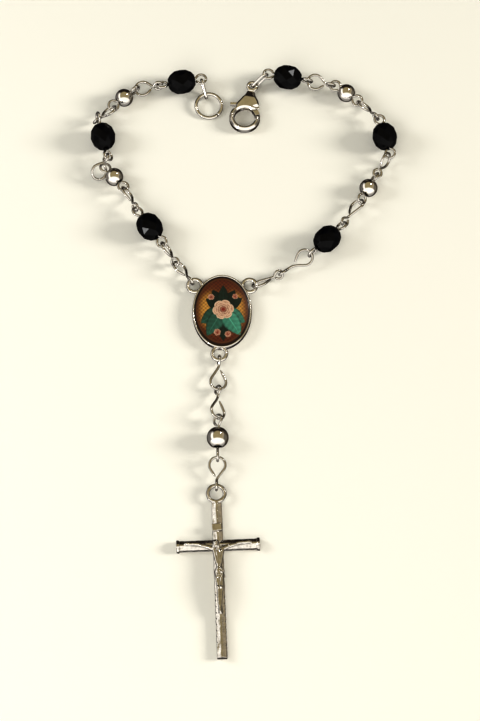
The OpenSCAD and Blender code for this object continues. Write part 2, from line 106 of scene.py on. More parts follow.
class BraceletMedal(bpy.types.PropertyGroup):
    """The medal with its picture and ears"""

    width: FloatProperty(
        name="Width", description="Width over the rim", default=14.1 * MM, unit="LENGTH",
    )
    height: FloatProperty(
        name="Height", description="Height over the rim", default=19 * MM, unit="LENGTH",
    )
    thickness: FloatProperty(
        name="Thickness", description="Thickness at the rim", default=2.1 * MM, unit="LENGTH",
    )
    rim: FloatProperty(name="Rim", description="Width of the rim", default=0.5 * MM, unit="LENGTH")
    dome: FloatProperty(
        name="Dome", description="Rise of the clear dome above the rim",
        default=0.55 * MM, unit="LENGTH",
    )
    ear_radius: FloatProperty(
        name="Ear Radius", description="Radius of an ear ring to the middle of its section",
        default=1.65 * MM, unit="LENGTH",
    )
    ear_wire: FloatProperty(
        name="Ear Wire", description="Thickness of an ear ring", default=0.85 * MM, unit="LENGTH",
    )


class BraceletCastings(bpy.types.PropertyGroup):
    """The clasp and the crucifix"""

    clasp_edge: FloatProperty(
        name="Clasp Edge", description="Rounding of the edges of the clasp",
        default=0.48 * MM, unit="LENGTH",
    )
    bark: FloatProperty(
        name="Bark", description="Depth of the bark on the bars of the crucifix",
        default=0.05 * MM, unit="LENGTH",
    )


class BraceletFinish(bpy.types.PropertyGroup):
    """The colours of the metal, the glass and the picture"""

    silver: FloatVectorProperty(
        name="Silver", description="Colour of the polished metal", subtype="COLOR",
        default=(0.92, 0.9, 0.87),
    )
    tarnish: FloatVectorProperty(
        name="Tarnish", description="Colour of the metal in hollows", subtype="COLOR",
        default=(0.2, 0.17, 0.13),
    )
    glass: FloatVectorProperty(
        name="Glass", description="Colour of the black beads", subtype="COLOR",
        default=(0.0015, 0.0015, 0.002),
    )
    ground: FloatVectorProperty(
        name="Ground", description="Dark ground of the picture", subtype="COLOR",
        default=(0.05, 0.009, 0.004),
    )
    gold: FloatVectorProperty(
        name="Gold", description="Lattice of the picture", subtype="COLOR", default=(0.75, 0.41, 0.08),
    )
    leaf: FloatVectorProperty(
        name="Leaf", description="Leaves of the picture", subtype="COLOR", default=(0.032, 0.125, 0.085),
    )
    petal: FloatVectorProperty(
        name="Petal", description="Petals of the picture", subtype="COLOR", default=(0.58, 0.36, 0.23),
    )


class BraceletStage(bpy.types.PropertyGroup):
    """The floor, the lamps and the room"""

    floor: FloatVectorProperty(
        name="Floor", description="Colour of the floor", subtype="COLOR", default=(0.88, 0.85, 0.765),
    )
    key: FloatProperty(
        name="Key", description="Power of the light at the right, in watts", default=18, unit="POWER",
    )
    fill: FloatProperty(
        name="Fill", description="Power of the light at the left, in watts", default=1, unit="POWER",
    )
    cover: FloatProperty(
        name="Cover", description="Power of the wide light overhead, in watts",
        default=0.8, unit="POWER",
    )
    spark: FloatProperty(
        name="Spark", description="Power of each lamp that only glints, in watts",
        default=0.2, unit="POWER",
    )
    sky: FloatProperty(name="Sky", description="Brightness of the room in reflections", default=1)


# Helpers for meshes


def merged_copy(node):
    """A bmesh of a CAD node's mesh with its doubles merged."""
    work = bmesh.new()
    work.from_mesh(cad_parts[node].data)
    bmesh.ops.remove_doubles(work, verts=work.verts, dist=CAD_DOUBLES)
    return work


def add_piece(name, work, node, material, body=CHAIN_BODY, smooth=True):
    """Makes an object of the bmesh, which stands for a CAD node and rides on a body."""
    mesh = bpy.data.meshes.new(name)
    work.to_mesh(mesh)
    work.free()
    mesh.polygons.foreach_set("use_smooth", [smooth] * len(mesh.polygons))
    mesh.materials.append(material)
    piece = bpy.data.objects.new(name, mesh)
    bpy.context.scene.collection.objects.link(piece)
    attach(piece, body)
    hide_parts(node)
    return piece


def subdivide(piece, levels):
    """Gives a piece a subdivision surface."""
    modifier = piece.modifiers.new("Subdivision", "SUBSURF")
    modifier.levels = levels
    modifier.render_levels = levels


def settled(work, modifiers):
    """Runs modifiers on a bmesh and returns the result as a new bmesh."""
    mesh = bpy.data.meshes.new("work")
    work.to_mesh(mesh)
    work.free()
    helper = bpy.data.objects.new("work", mesh)
    bpy.context.scene.collection.objects.link(helper)
    for kind, values in modifiers:
        modifier = helper.modifiers.new(kind, kind)
        for key, value in values.items():
            setattr(modifier, key, value)
    evaluated = helper.evaluated_get(bpy.context.evaluated_depsgraph_get())
    result = bmesh.new()
    result.from_mesh(evaluated.to_mesh())
    evaluated.to_mesh_clear()
    for _, values in modifiers:
        other = values.get("object")
        if other:
            remove_object(other)
    remove_object(helper)
    return result


def remove_object(helper):
    """Removes a helper and its mesh."""
    mesh = helper.data
    bpy.data.objects.remove(helper)
    bpy.data.meshes.remove(mesh)


def cast(work, voxel, steps):
    """Melts a bmesh into one skin, as a cast piece has."""
    bmesh.ops.triangulate(work, faces=work.faces[:])
    return settled(work, [
        ("REMESH", {"mode": "VOXEL", "voxel_size": voxel}),
        ("SMOOTH", {"factor": 0.5, "iterations": steps}),
    ])


def smooth_by_angle(piece, degrees):
    """Smooth shading, with sharp edges where faces meet at more than the angle."""
    mesh = piece.data
    work = bmesh.new()
    work.from_mesh(mesh)
    for edge in work.edges:
        edge.smooth = edge.is_manifold and edge.calc_face_angle() < math.radians(degrees)
    work.to_mesh(mesh)
    work.free()


def ellipsoid(work, centre, radii, turn=0.0):
    """Adds an ellipsoid; centre and radii are in millimetres, turn in degrees about Z."""
    place = Matrix.Translation(Vector(centre) * MM)
    shape = Matrix.Diagonal((radii[0] * MM, radii[1] * MM, radii[2] * MM, 1))
    matrix = place @ Matrix.Rotation(math.radians(turn), 4, "Z") @ shape
    bmesh.ops.create_uvsphere(work, u_segments=16, v_segments=10, radius=1, matrix=matrix)


def spin_round(work, geom, steps):
    """Spins vertices and edges once round the Z axis."""
    bmesh.ops.spin(
        work, geom=geom, cent=(0, 0, 0), axis=(0, 0, 1), angle=math.tau,
        steps=steps, use_merge=True, use_duplicate=False,
    )
    bmesh.ops.remove_doubles(work, verts=work.verts, dist=SPIN_DOUBLES)


def lathe(work, profile, steps):
    """Spins a chain of points, each a distance from the Z axis and a height, in metres."""
    verts = [work.verts.new((r, 0, z)) for r, z in profile]
    edges = [work.edges.new(pair) for pair in zip(verts, verts[1:])]
    spin_round(work, verts + edges, steps)


def close_holes(work):
    """Fills the open ends of a spun shape and turns its faces outwards."""
    bmesh.ops.holes_fill(work, edges=[e for e in work.edges if e.is_boundary], sides=0)
    bmesh.ops.recalc_face_normals(work, faces=work.faces)


def step(low, high, value):
    """0 below low, 1 above high, smooth between."""
    share = min(1.0, max(0.0, (value - low) / (high - low)))
    return share * share * (3 - 2 * share)


def blend(a, b, share):
    """A colour between two others."""
    return [x + (y - x) * share for x, y in zip(a, b)]


# Finishes


def start_material(name):
    """A new material, with its node tree, its shader and an Object coordinate node."""
    material = bpy.data.materials.new(name)
    material.use_nodes = True
    tree = material.node_tree
    shader = tree.nodes["Principled BSDF"]
    place = tree.nodes.new("ShaderNodeTexCoord")
    return material, tree, shader, place.outputs["Object"]


def add_noise(tree, place, scale, detail=3.0):
    """Noise with so many spots to the metre."""
    texture = tree.nodes.new("ShaderNodeTexNoise")
    texture.inputs["Scale"].default_value = scale
    texture.inputs["Detail"].default_value = detail
    tree.links.new(place, texture.inputs["Vector"])
    return texture.outputs["Fac"]


def add_range(tree, value, from_low, from_high, to_low, to_high):
    """Maps a value from one range to another, clamped."""
    node = tree.nodes.new("ShaderNodeMapRange")
    limits = {"From Min": from_low, "From Max": from_high, "To Min": to_low, "To Max": to_high}
    for key, number in limits.items():
        node.inputs[key].default_value = number
    tree.links.new(value, node.inputs["Value"])
    return node.outputs["Result"]


def add_mix(tree, share, first, second):
    """Mixes two colours; each is a socket or a colour."""
    node = tree.nodes.new("ShaderNodeMix")
    node.data_type = "RGBA"
    tree.links.new(share, node.inputs["Factor"])
    for socket, colour in ((node.inputs["A"], first), (node.inputs["B"], second)):
        if isinstance(colour, bpy.types.NodeSocket):
            tree.links.new(colour, socket)
        else:
            socket.default_value = (*colour, 1)
    return node.outputs["Result"]


def add_product(tree, first, second):
    """Multiplies two values."""
    node = tree.nodes.new("ShaderNodeMath")
    node.operation = "MULTIPLY"
    tree.links.new(first, node.inputs[0])
    tree.links.new(second, node.inputs[1])
    return node.outputs["Value"]


def add_bump(tree, shader, height, strength, distance):
    """Gives a shader a fine relief."""
    node = tree.nodes.new("ShaderNodeBump")
    node.inputs["Strength"].default_value = strength
    node.inputs["Distance"].default_value = distance
    tree.links.new(height, node.inputs["Height"])
    tree.links.new(node.outputs["Normal"], shader.inputs["Normal"])


def polished_silver(name, colour, smooth, rough, grain):
    """Polished metal with faint handling marks."""
    material, tree, shader, place = start_material(name)
    shader.inputs["Metallic"].default_value = 1
    cloudy = add_noise(tree, place, 420, 4)
    tint = add_mix(tree, add_range(tree, cloudy, 0.35, 0.7, 0, 1), colour, [0.86 * c for c in colour])
    tree.links.new(tint, shader.inputs["Base Color"])
    marks = add_noise(tree, place, 2600, 5)
    tree.links.new(add_range(tree, marks, 0.3, 0.75, smooth, rough), shader.inputs["Roughness"])
    add_bump(tree, shader, marks, grain, 0.02 * MM)
    return material


def cast_silver(name, colour, tarnish):
    """Cast metal, bright where it rubs and darker in its hollows."""
    material, tree, shader, place = start_material(name)
    shader.inputs["Metallic"].default_value = 1
    geometry = tree.nodes.new("ShaderNodeNewGeometry")
    raised = add_range(tree, geometry.outputs["Pointiness"], 0.45, 0.5, 0, 1)
    cloudy = add_noise(tree, place, 700, 5)
    patches = add_range(tree, cloudy, 0.35, 0.65, 0.72, 1.0)
    worn = add_product(tree, raised, patches)
    tree.links.new(add_mix(tree, worn, tarnish, colour), shader.inputs["Base Color"])
    grains = add_noise(tree, place, 3800, 6)
    tree.links.new(add_range(tree, worn, 0, 1, 0.45, 0.12), shader.inputs["Roughness"])
    add_bump(tree, shader, grains, 0.25, 0.03 * MM)
    return material


def jet_glass(name, colour):
    """Opaque pressed glass with a high gloss and faint smears."""
    material, tree, shader, place = start_material(name)
    cloudy = add_noise(tree, place, 900, 3)
    shade = add_mix(tree, add_range(tree, cloudy, 0.3, 0.7, 0, 1), colour, [2.5 * c for c in colour])
    tree.links.new(shade, shader.inputs["Base Color"])
    tree.links.new(add_range(tree, cloudy, 0.4, 0.8, 0.03, 0.09), shader.inputs["Roughness"])
    shader.inputs["Specular IOR Level"].default_value = 0.15
    return material


def printed_enamel(name):
    """The printed picture under its clear dome."""
    material, tree, shader, place = start_material(name)
    paint = tree.nodes.new("ShaderNodeAttribute")
    paint.attribute_name = "paint"
    specks = add_range(tree, add_noise(tree, place, 5200, 2), 0.35, 0.7, 0, 0.45)
    darker = tree.nodes.new("ShaderNodeMix")
    darker.data_type = "RGBA"
    darker.blend_type = "MULTIPLY"
    darker.inputs["B"].default_value = (0.55, 0.42, 0.35, 1)
    tree.links.new(specks, darker.inputs["Factor"])
    tree.links.new(paint.outputs["Color"], darker.inputs["A"])
    tree.links.new(darker.outputs["Result"], shader.inputs["Base Color"])
    shader.inputs["Roughness"].default_value = 0.35
    shader.inputs["Coat Weight"].default_value = 0.4
    shader.inputs["Coat Roughness"].default_value = 0.03
    return material


# The picture of the medal: an open rose with leaves on a gold lattice, in millimetres from its middle

CREASE = [0.1, 0.014, 0.009]
PETAL_BASE = [0.11, 0.012, 0.008]
PETAL_EDGE = [0.8, 0.6, 0.42]
ROSE_HEART = [0.3, 0.04, 0.02]
BUD_PETAL = [0.36, 0.1, 0.05]
WARM_GROUND = [0.2, 0.035, 0.01]
BORDER_LINE = [0.13, 0.05, 0.015]
BORDER = [0.012, 0.004, 0.003]
# Spots of the lattice and veins of a leaf, as angles in radians for each millimetre
LATTICE = 6.5
VEINS = 5.2

ROSE = (0.3, 0.1)
# Each layer of petals: radius, number of petals, turn in degrees
ROSE_LAYERS = [(2.55, 6, 10), (2.05, 5, 40), (1.6, 5, 5), (1.1, 4, 60), (0.6, 3, 20)]
# Each leaf, from the middle of the rose: turn in degrees, length, half its width, lightness
LEAVES = [
    (35, 5.4, 1.5, 0.12),
    (145, 5.0, 1.4, 0.12),
    (62, 5.8, 1.5, 0.1),
    (116, 5.8, 1.5, 0.1),
    (90, 6.4, 1.3, 0.16),
    (212, 6.2, 2.0, 0.7),
    (328, 6.0, 1.9, 1.5),
    (270, 8.0, 1.5, 0.14),
    (240, 7.6, 2.0, 0.9),
    (302, 7.6, 2.1, 2.1),
]
# Each bud: place and size, in the measure in which the rose has ROSE_SIZE
ROSE_SIZE = 2.9
BUDS = [((-2.6, 3.4), 0.9), ((3.1, 3.6), 0.8), ((-1.1, -5.7), 0.95), ((1.4, -6.2), 0.85)]


def rose_colour(dx, dy, size, petal, under):
    """The colour of a rose at an offset from its middle, or the one under it."""
    reach = math.hypot(dx, dy)
    angle = math.atan2(dy, dx)
    colour = None
    for radius, count, turn in ROSE_LAYERS:
        radius *= size
        wave = abs(math.cos(count * (angle - math.radians(turn)) / 2))
        edge = radius * (0.82 + 0.18 * wave ** 0.5)
        if reach >= edge:
            continue
        share = reach / edge
        shade = blend(PETAL_BASE, petal, step(0.5, 0.95, share))
        shade = blend(shade, CREASE, 0.85 * (1 - step(0.0, 0.32, wave)))
        shade = blend(shade, PETAL_EDGE, step(0.86, 0.96, share) * 0.7)
        colour = shade if radius > 0.8 * size else blend(shade, ROSE_HEART, 0.6)
    return colour if colour else under


def leaf_colour(dx, dy, turn, length, half_width, leaf, under):
    """The colour of a leaf at an offset from its foot, or the one under it."""
    angle = math.radians(turn)
    along = (dx * math.cos(angle) + dy * math.sin(angle)) / length
    side = -dx * math.sin(angle) + dy * math.cos(angle)
    if not 0.0 < along < 1.0:
        return under
    width = half_width * math.sin(math.pi * along ** 0.85) ** 0.8
    share = abs(side) / max(width, 0.01)
    if share >= 1:
        return under
    veins = 0.5 + 0.5 * math.cos(VEINS * (along * length - 0.5 * abs(side)))
    shade = blend(leaf, [1.5 * c for c in leaf], 0.6 * step(0.0, 0.8, side / max(width, 0.01)))
    shade = blend(shade, [0.25 * c for c in leaf], 0.3 * veins + 0.7 * step(0.72, 1.0, share))
    return blend([1.8 * c for c in leaf], shade, step(0.0, 0.09, share))


def picture_colour(x, y, half_w, half_h, finish):
    """The paint at a place of the picture, in millimetres from its middle."""
    oval = math.hypot(x / half_w, y / half_h)
    dx, dy = x - ROSE[0], y - ROSE[1]
    lattice = 0.5 + 0.25 * (math.cos(LATTICE * (x + y)) + math.cos(LATTICE * (x - y)))
    # Gold at both sides of the rose, fading to the top, the bottom and the border
    glow = (1 - step(0.62, 0.97, oval)) * (0.25 + 0.75 * step(1.0, 3.2, abs(x)))
    glow *= 1 - 0.9 * step(2.6, 6, abs(y))
    colour = blend(list(finish.ground), WARM_GROUND, 0.7 * lattice * (1 - step(0.8, 1, oval)))
    colour = blend(colour, list(finish.gold), glow * (0.3 + 0.6 * lattice))
    for turn, length, half_width, light in LEAVES:
        leaf = [light * c for c in finish.leaf]
        colour = leaf_colour(dx, dy, turn, length, half_width, leaf, colour)
    for place, size in BUDS:
        colour = rose_colour(x - place[0], y - place[1], size / ROSE_SIZE, BUD_PETAL, colour)
    colour = rose_colour(dx, dy, 1.0, list(finish.petal), colour)
    colour = blend(colour, BORDER_LINE, 0.8 * step(0.9, 0.915, oval) * (1 - step(0.93, 0.945, oval)))
    return blend(colour, BORDER, step(0.94, 0.97, oval))


# Operators, one for each group of pieces


class BRACELET_OT_wire(bpy.types.Operator):
    """Round wire for the links and the bead pins"""

    bl_idname = "bracelet.wire"
    bl_label = "Wire"

    def execute(self, context):
        chain = context.scene.bracelet_chain
        # The wire is a little darker than the beads
        dull = [0.8 * c for c in context.scene.bracelet_finish.silver]
        material = polished_silver("polished_wire", dull, 0.06, 0.16, 0.1)
        # A subdivided five-sided wire comes out at this share of its thickness
        kept = 0.77
        growth = chain.wire / 2 * (1 / kept - 1)
        for node in WIRES:
            work = merged_copy(node)
            bmesh.ops.join_triangles(
                work, faces=work.faces[:], angle_face_threshold=math.radians(18),
                angle_shape_threshold=math.radians(70),
            )
            work.normal_update()
            moves = [(v, v.normal * growth) for v in work.verts]
            for vert, move in moves:
                vert.co += move
            piece = add_piece(f"wire_{node}", work, node, material)
            subdivide(piece, chain.smoothness)
        return {"FINISHED"}


class BRACELET_OT_small_rings(bpy.types.Operator):
    """The jump ring and the two small oval links"""

    bl_idname = "bracelet.small_rings"
    bl_label = "Small Rings"

    def execute(self, context):
        finish = context.scene.bracelet_finish
        material = polished_silver("polished_ring", finish.silver, 0.06, 0.17, 0.08)
        for node in ("jump_ring", "ring_link", "clasp_link"):
            add_piece(f"round_{node}", merged_copy(node), node, material)
        return {"FINISHED"}


class BRACELET_OT_silver_beads(bpy.types.Operator):
    """Round drilled beads with a rounded lip at each hole"""

    bl_idname = "bracelet.silver_beads"
    bl_label = "Silver Beads"

    def execute(self, context):
        beads = context.scene.bracelet_beads
        finish = context.scene.bracelet_finish
        material = polished_silver("mirror_silver", finish.silver, 0.03, 0.11, 0.05)
        for node, heading in SILVER_BEADS.items():
            low, high = (Vector(corner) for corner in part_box(node))
            centre = (low + high) / 2
            radius = (high.z - low.z) / 2
            bore = beads.bore / 2
            # The skin runs from mouth to mouth of the hole, where its lip starts
            start = math.asin((bore + beads.lip) / radius)
            mouth = math.sqrt(radius ** 2 - (bore + beads.lip) ** 2)
            bands = 20
            turns = [start + (math.pi - 2 * start) * i / bands for i in range(bands + 1)]
            skin = [(radius * math.sin(a), radius * math.cos(a)) for a in turns]
            lip_low = [(bore + 0.3 * beads.lip, -mouth + 0.1 * beads.lip), (bore, -mouth + beads.lip)]
            lip_high = [(r, -z) for r, z in reversed(lip_low)]
            work = bmesh.new()
            lathe(work, skin + lip_low + lip_high + skin[:1], 40)
            bmesh.ops.recalc_face_normals(work, faces=work.faces)
            turn = Matrix.Rotation(math.radians(heading), 4, "Z") @ Matrix.Rotation(math.pi / 2, 4, "Y")
            bmesh.ops.transform(work, matrix=Matrix.Translation(centre) @ turn, verts=work.verts)
            piece = add_piece(f"round_{node}", work, node, material)
            subdivide(piece, 1)
        return {"FINISHED"}


class BRACELET_OT_black_beads(bpy.types.Operator):
    """Faceted glass beads with slightly worn facet edges"""

    bl_idname = "bracelet.black_beads"
    bl_label = "Black Beads"

    def execute(self, context):
        edge = context.scene.bracelet_beads.facet_edge
        material = jet_glass("jet_glass", context.scene.bracelet_finish.glass)
        for node in BLACK_BEADS:
            work = merged_copy(node)
            bmesh.ops.dissolve_limit(
                work, angle_limit=math.radians(2), verts=work.verts[:], edges=work.edges[:],
            )
            # The edges between facets, without the short or steep ones at the hole
            least, most = math.radians(6), math.radians(60)
            long_edges = [e for e in work.edges if e.calc_length() > 0.6 * MM and e.is_manifold]
            facet_edges = [e for e in long_edges if least < e.calc_face_angle() < most]
            bmesh.ops.bevel(
                work, geom=facet_edges, offset=edge, offset_type="OFFSET", segments=2, profile=0.5,
                affect="EDGES", material=-1, clamp_overlap=True,
            )
            add_piece(f"cut_{node}", work, node, material, smooth=False)
        return {"FINISHED"}


# The wall of the medal in section, in millimetres
# Foot: distance inside the outer side, height above the back
MEDAL_FOOT = [(1.5, 0), (0.85, 0), (0.5, 0.06), (0.25, 0.2), (0.08, 0.45), (0.01, 0.8), (0, 1.2)]
# Rim: distance inside the outer side, depth below the top
MEDAL_RIM = [(0, 0.4), (0.03, 0.2), (0.1, 0.07), (0.2, 0.01), (0.3, 0.01), (0.4, 0.06)]
# Seat of the picture: distance inside the side of the seat, depth below the top
MEDAL_SEAT = [(-0.03, 0.16), (0, 0.3), (0, 0.7), (1, 0.7)]
# Distance of the upper ears below the top, of the lower ear from the middle, and height of all three
EAR_DOWN = 2.6 * MM
EAR_SHIFT = -0.6 * MM
EAR_LEVEL = 1.35 * MM


class BRACELET_OT_medal(bpy.types.Operator):
    """The cast cup of the medal with its rim and three ear rings"""

    bl_idname = "bracelet.medal"
    bl_label = "Medal"

    def execute(self, context):
        medal = context.scene.bracelet_medal
        finish = context.scene.bracelet_finish
        material = polished_silver("medal_silver", finish.silver, 0.1, 0.26, 0.15)
        half = medal.width / 2
        top = medal.thickness
        seat = half - medal.rim
        profile = [(half - inside * MM, height * MM) for inside, height in MEDAL_FOOT]
        profile += [(half - inside * MM, top - depth * MM) for inside, depth in MEDAL_RIM]
        profile += [(seat - inside * MM, top - depth * MM) for inside, depth in MEDAL_SEAT]
        work = bmesh.new()
        lathe(work, profile, 160)
        longer = (medal.height - medal.width) / 2
        for vert in work.verts:
            reach = math.hypot(vert.co.x, vert.co.y)
            vert.co.y *= (reach + longer) / reach
        close_holes(work)
        low, high = (Vector(corner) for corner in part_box("medal_frame"))
        outer = medal.ear_radius + medal.ear_wire / 2
        ears = [
            (low.x + outer, high.y - EAR_DOWN, EAR_LEVEL),
            (high.x - outer, high.y - EAR_DOWN, EAR_LEVEL),
            (EAR_SHIFT, low.y + outer, EAR_LEVEL),
        ]
        unions = []
        for place in ears:
            ring = bmesh.new()
            bmesh.ops.create_circle(ring, segments=16, radius=medal.ear_wire / 2)
            turn = Matrix.Translation((medal.ear_radius, 0, 0)) @ Matrix.Rotation(math.pi / 2, 4, "X")
            bmesh.ops.transform(ring, matrix=turn, verts=ring.verts)
            spin_round(ring, ring.verts[:] + ring.edges[:], 48)
            bmesh.ops.recalc_face_normals(ring, faces=ring.faces)
            bmesh.ops.translate(ring, vec=place, verts=ring.verts)
            mesh = bpy.data.meshes.new("ear")
            ring.to_mesh(mesh)
            ring.free()
            helper = bpy.data.objects.new("ear", mesh)
            bpy.context.scene.collection.objects.link(helper)
            unions.append(("BOOLEAN", {"operation": "UNION", "solver": "EXACT", "object": helper}))
        work = settled(work, unions)
        piece = add_piece("cast_medal_frame", work, "medal_frame", material)
        smooth_by_angle(piece, 40)
        return {"FINISHED"}


class BRACELET_OT_picture(bpy.types.Operator):
    """The domed picture of a rose on a gold lattice"""

    bl_idname = "bracelet.picture"
    bl_label = "Picture"

    def execute(self, context):
        medal = context.scene.bracelet_medal
        finish = context.scene.bracelet_finish
        low, high = (Vector(corner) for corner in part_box("medal_picture"))
        half_w, half_h = high.x, high.y
        # The edge of the dome lies a little below the rim
        drop = 0.1 * MM
        edge_z = medal.thickness - drop
        rise = medal.dome + drop
        rings = 80
        profile = []
        for i in range(rings + 1):
            share = i / rings
            profile.append((half_w * share, edge_z + rise * (1 - share ** 2) ** 0.8))
        profile.append((half_w, low.z))
        work = bmesh.new()
        lathe(work, profile, 300)
        bmesh.ops.scale(work, vec=(1, half_h / half_w, 1), verts=work.verts)
        close_holes(work)
        material = printed_enamel("printed_enamel")
        piece = add_piece("domed_picture", work, "medal_picture", material)
        smooth_by_angle(piece, 50)
        paint = piece.data.color_attributes.new("paint", "FLOAT_COLOR", "POINT")
        for vert in piece.data.vertices:
            colour = picture_colour(vert.co.x / MM, vert.co.y / MM, half_w / MM, half_h / MM, finish)
            paint.data[vert.index].color = (*colour, 1)
        return {"FINISHED"}


# Middle of the clasp's opening, its turn and half its thickness
CLASP_PLACE = Vector((5.4, 52.5, 0)) * MM
CLASP_TURN = math.radians(-12)
CLASP_MIDDLE = 1.2 * MM
# Its body gets thinner towards the eye: the share that goes, and in millimetres
# from the middle of the opening where that starts, is full and has ended
NECK_THINNING = 0.58
NECK_START = 5.3
NECK_FULL = 7.6
NECK_END = 8.0
# Height that the chamfer of an edge loses for its width
CHAMFER_FALL = 1.15


def round_plate(work, edge):
    """Rounds the upper and lower edges of a flat plate by a chamfer that the casting softens."""
    bmesh.ops.dissolve_limit(work, angle_limit=math.radians(3), verts=work.verts[:], edges=work.edges[:])
    work.normal_update()
    for side in (1, -1):
        flat = [f for f in work.faces if side * f.normal.z > 0.99]
        level = max(side * f.calc_center_median().z for f in flat)
        top = [f for f in flat if side * f.calc_center_median().z > level - 0.01 * MM]
        bmesh.ops.inset_region(
            work, faces=top, thickness=edge, use_boundary=True, use_even_offset=True,
        )
        inner = {v for f in top for v in f.verts}
        ring = {v for f in work.faces if any(w in inner for w in f.verts) for v in f.verts} - inner
        for vert in ring:
            vert.co.z -= side * CHAMFER_FALL * edge


class BRACELET_OT_clasp(bpy.types.Operator):
    """The lobster clasp and its lever"""

    bl_idname = "bracelet.clasp"
    bl_label = "Clasp"

    def execute(self, context):
        castings = context.scene.bracelet_castings
        finish = context.scene.bracelet_finish
        material = polished_silver("clasp_silver", finish.silver, 0.06, 0.2, 0.12)
        work = merged_copy("clasp_body")
        round_plate(work, castings.clasp_edge)
        work = cast(work, voxel=0.08 * MM, steps=8)
        direction = Vector((-math.sin(CLASP_TURN), math.cos(CLASP_TURN), 0))
        for vert in work.verts:
            along = (vert.co - CLASP_PLACE).dot(direction) / MM
            neck = step(NECK_START, NECK_FULL, along) * (1 - step(NECK_FULL, NECK_END, along))
            vert.co.z = CLASP_MIDDLE + (vert.co.z - CLASP_MIDDLE) * (1 - NECK_THINNING * neck)
        add_piece("cast_clasp_body", work, "clasp_body", material)
        work = merged_copy("clasp_lever")
        work = cast(work, voxel=0.06 * MM, steps=5)
        add_piece("cast_clasp_lever", work, "clasp_lever", material, body=LEVER_BODY)
        return {"FINISHED"}


# Forms that are added to the figure, in millimetres from the ring of the crucifix:
# across, up, off the surface, three radii, and a turn
FIGURE_MIDDLE = [
    # hair, beard and head band
    (-0.55, -12.3, 3.0, 0.78, 0.55, 0.7, 0),
    (-0.66, -13.38, 3.35, 0.3, 0.36, 0.28, 10),
    (-0.55, -12.4, 3.25, 0.72, 0.15, 0.58, 8),
    # nose and brow
    (-0.57, -12.78, 3.78, 0.1, 0.24, 0.13, 6),
    (-0.54, -12.56, 3.66, 0.4, 0.08, 0.11, 6),
    # breastbone, belly and loincloth
    (0, -15.0, 2.85, 0.62, 1.0, 0.34, 0),
    (0, -16.9, 2.8, 0.48, 1.0, 0.3, 0),
    (0.03, -18.9, 2.72, 0.95, 0.28, 0.5, 8),
    (0.1, -19.5, 2.75, 0.9, 0.22, 0.48, -14),
    (0, -20.1, 2.72, 0.82, 0.2, 0.46, 12),
    (0.06, -20.6, 2.62, 0.74, 0.22, 0.42, -8),
    (1.0, -19.2, 2.45, 0.28, 0.34, 0.32, 0),
    (1.1, -20.2, 2.25, 0.2, 0.8, 0.24, 8),
    # feet, one over the other
    (-0.05, -28.1, 2.2, 0.32, 0.72, 0.27, -4),
    (0.1, -27.6, 2.0, 0.3, 0.62, 0.26, 12),
]
# Forms at both sides of the middle of the head, which leans to the left
HEAD_MIDDLE = -0.55
HEAD_SIDES = [
    # locks of hair and cheeks
    (0.6, -12.95, 3.0, 0.22, 0.8, 0.42, 0),
    (0.27, -12.9, 3.55, 0.18, 0.2, 0.15, 0),
]
# Forms at both sides of the middle of the body
BODY_SIDES = [
    # chest, ribs and sides
    (0.4, -14.5, 2.8, 0.42, 0.36, 0.27, 12),
    (0.52, -15.4, 2.68, 0.32, 0.12, 0.24, -24),
    (0.5, -15.9, 2.65, 0.3, 0.11, 0.22, -26),
    (0.46, -16.4, 2.62, 0.27, 0.1, 0.2, -28),
    # shoulder, upper arm, forearm
    (1.0, -13.85, 2.4, 0.45, 0.42, 0.42, 0),
    (2.0, -13.35, 2.32, 0.95, 0.45, 0.45, 24),
    (3.5, -12.85, 2.2, 0.9, 0.4, 0.4, 16),
    (4.9, -12.4, 2.12, 1.2, 0.4, 0.4, 8),
    # thumb and fingers
    (6.75, -11.85, 2.0, 0.14, 0.3, 0.14, 20),
    (7.35, -12.0, 1.95, 0.38, 0.09, 0.11, 12),
    (7.4, -12.2, 1.95, 0.38, 0.09, 0.11, 2),
    (7.3, -12.4, 1.93, 0.36, 0.09, 0.11, -8),
    # thigh, knee and calf
    (0.5, -21.2, 2.7, 0.42, 1.2, 0.42, -4),
    (0.34, -23.1, 2.95, 0.32, 0.38, 0.3, 0),
    (0.35, -24.9, 2.42, 0.35, 1.15, 0.37, -3),
]
# Middle of the ring of the crucifix, and its turn
CROSS_PLACE = Vector((-1.2, -46.0, 0)) * MM
CROSS_TURN = math.radians(2.2)
# Spots of the two noises of the bark, for each metre across, along and up
BARK_RIBS = Vector((1600, 700, 1600))
BARK_GRAIN = Vector((900, 2700, 900))


